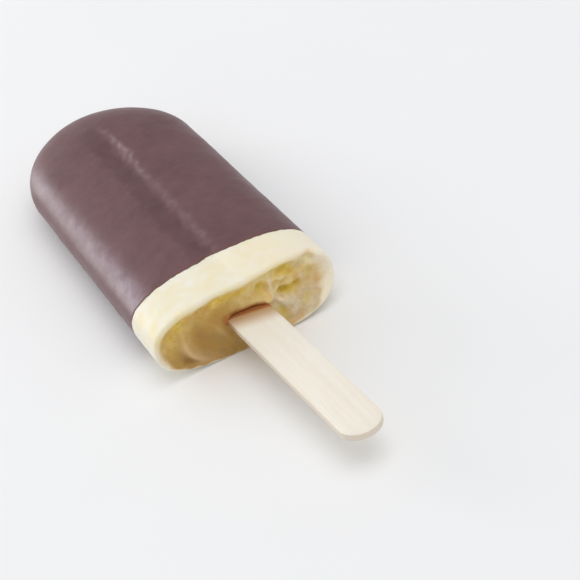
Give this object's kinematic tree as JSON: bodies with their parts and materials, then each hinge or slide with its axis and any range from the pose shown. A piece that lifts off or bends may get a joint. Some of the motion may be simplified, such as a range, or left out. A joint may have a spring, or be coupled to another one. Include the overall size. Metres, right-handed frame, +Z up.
{
  "type": "ice lolly",
  "caption": "Ice lolly of chocolate and vanilla layers: a flat bar with a rounded tip, a shallow groove down its faces, a craggy end face and a flat wooden stick.",
  "frame": {"origin": "on the surface it lies on, under the middle of its whole length and width", "axes": "+X along its length from the rounded tip to the stick, +Z up through its thickness, +Y across"},
  "size_m": [0.148, 0.046, 0.018],
  "materials": {
    "chocolate": "frozen chocolate ice, satin with a faint frost bloom",
    "vanilla": "frozen vanilla ice, smooth on its moulded sides and craggy on its end",
    "stick_wood": "pale bare wood, smooth, fine straight grain"
  },
  "bodies": {
    "root": {"chocolate_layer": "chocolate", "vanilla_layer": "vanilla", "stick": "stick_wood"}
  },
  "joints": []
}
